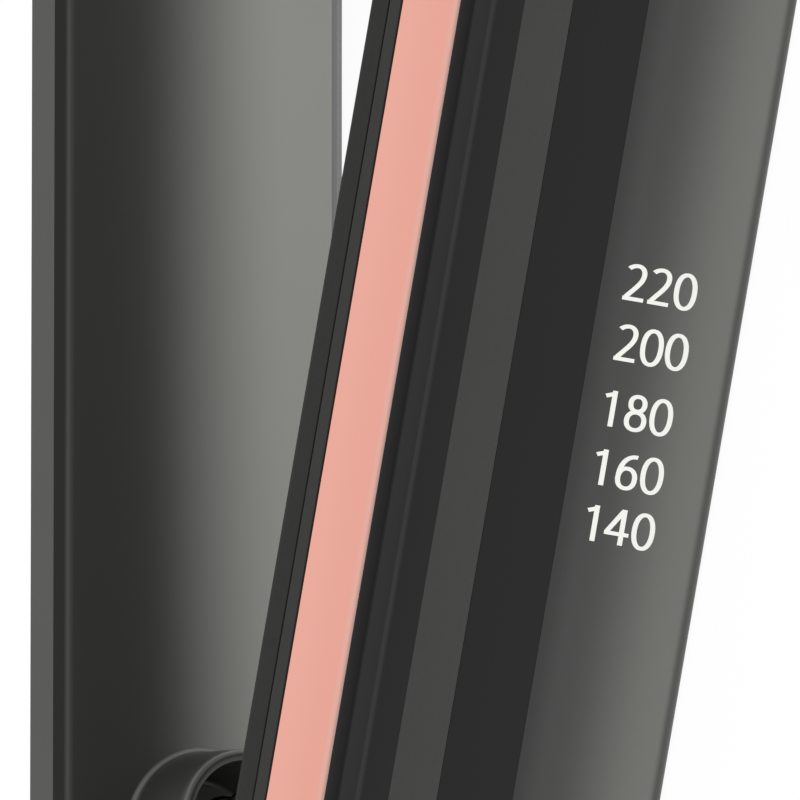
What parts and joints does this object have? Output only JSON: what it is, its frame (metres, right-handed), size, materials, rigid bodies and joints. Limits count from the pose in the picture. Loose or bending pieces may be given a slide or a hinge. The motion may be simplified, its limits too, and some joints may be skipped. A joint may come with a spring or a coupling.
{
  "type": "hair straightener",
  "caption": "Slim hair straightener lying open on its side: control arm with gloss panel and rose trim, sprung plain arm, floating heated plates.",
  "frame": {"origin": "hinge axis, on the flat side that the straightener lies on", "axes": "+Y along the control arm from the hinge to its tip, +X the control arm's outer side, +Z along the hinge axis"},
  "size_m": [0.1144, 0.288, 0.0324],
  "materials": {
    "graphite_shell": "satin graphite moulded plastic",
    "gloss_black": "gloss black",
    "satin_stripe": "satin grey",
    "rose_trim": "satin rose lacquer",
    "dark_cover": "satin charcoal",
    "black_steel": "blackened",
    "tip_plastic": "fine matt",
    "heat_plastic": "glass filled, matt",
    "silicone": "matt",
    "plate_coating": "ceramic coating with a soft glitter",
    "heater_ceramic": "bisque",
    "sensor": "glazed bead",
    "board_green": "solder mask",
    "switch_metal": "pressed cover",
    "light_guide": "clear acrylic",
    "lead_silicone": "satin",
    "button_plastic": "satin",
    "pin_steel": "ground",
    "spring_steel": "oiled black",
    "graphite_panel": "satin graphite",
    "bush_bronze": "sintered"
  },
  "bodies": {
    "control_arm": {"control_shell": "graphite_shell", "gloss_panel": "gloss_black", "panel_stripe": "satin_stripe", "side_trim": "rose_trim", "control_inner_cover": "dark_cover", "control_screws": "black_steel", "control_tip": "tip_plastic", "control_carrier": "heat_plastic", "control_pads": "silicone", "control_board": "board_green", "tact_switches": "switch_metal", "light_guide": "light_guide", "supply_leads": "lead_silicone", "control_leads": "lead_silicone", "hinge_pin": "pin_steel", "hinge_caps": "dark_cover", "arm_spring": "spring_steel"},
    "plain_arm": {"plain_shell": "graphite_shell", "plain_inner_cover": "graphite_panel", "plain_screws": "black_steel", "plain_tip": "tip_plastic", "plain_carrier": "heat_plastic", "plain_pads": "silicone", "plain_leads": "lead_silicone", "hinge_bushes": "bush_bronze", "lock_catch": "pin_steel"},
    "control_plate": {"control_plate": "plate_coating", "control_heater": "heater_ceramic", "thermistor": "sensor"},
    "plain_plate": {"plain_plate": "plate_coating", "plain_heater": "heater_ceramic"},
    "power_button": {"power_button": "button_plastic"},
    "minus_button": {"minus_button": "button_plastic"},
    "plus_button": {"plus_button": "button_plastic"},
    "lock_slider": {"lock_slider": "button_plastic"},
    "cord_swivel": {"cord_swivel": "dark_cover"}
  },
  "joints": [
    {"name": "arm_hinge", "type": "hinge", "parent": "control_arm", "child": "plain_arm", "pos_m": [0, 0, 0.0162], "axis": [0, 0, -1], "range_deg": [0, 17.03], "stiffness_Nm_per_rad": 0.3, "springref_deg": -8.59, "deforming": ["arm_spring"]},
    {"name": "control_plate_float", "type": "slide", "parent": "control_arm", "child": "control_plate", "axis": [1, 0, 0], "range_m": [0, 0.001], "stiffness_N_per_m": 1500, "springref_m": -0.0005, "deforming": ["control_pads"]},
    {"name": "plain_plate_float", "type": "slide", "parent": "plain_arm", "child": "plain_plate", "axis": [-0.9562, -0.2929, 0], "range_m": [0, 0.001], "stiffness_N_per_m": 1500, "springref_m": -0.0005, "deforming": ["plain_pads"]},
    {"name": "power_press", "type": "slide", "parent": "control_arm", "child": "power_button", "axis": [-1, 0, 0], "range_m": [0, 0.0005], "stiffness_N_per_m": 800, "springref_m": -0.0005},
    {"name": "minus_press", "type": "slide", "parent": "control_arm", "child": "minus_button", "axis": [-1, 0, 0], "range_m": [0, 0.0005], "stiffness_N_per_m": 800, "springref_m": -0.0005},
    {"name": "plus_press", "type": "slide", "parent": "control_arm", "child": "plus_button", "axis": [-1, 0, 0], "range_m": [0, 0.0005], "stiffness_N_per_m": 800, "springref_m": -0.0005},
    {"name": "lock_slide", "type": "slide", "parent": "control_arm", "child": "lock_slider", "axis": [0, 0, 1], "range_m": [0, 0.0045]},
    {"name": "swivel_turn", "type": "hinge", "parent": "control_arm", "child": "cord_swivel", "pos_m": [0.01355, -0.02, 0.0162], "axis": [0, 1, 0], "continuous": true}
  ]
}
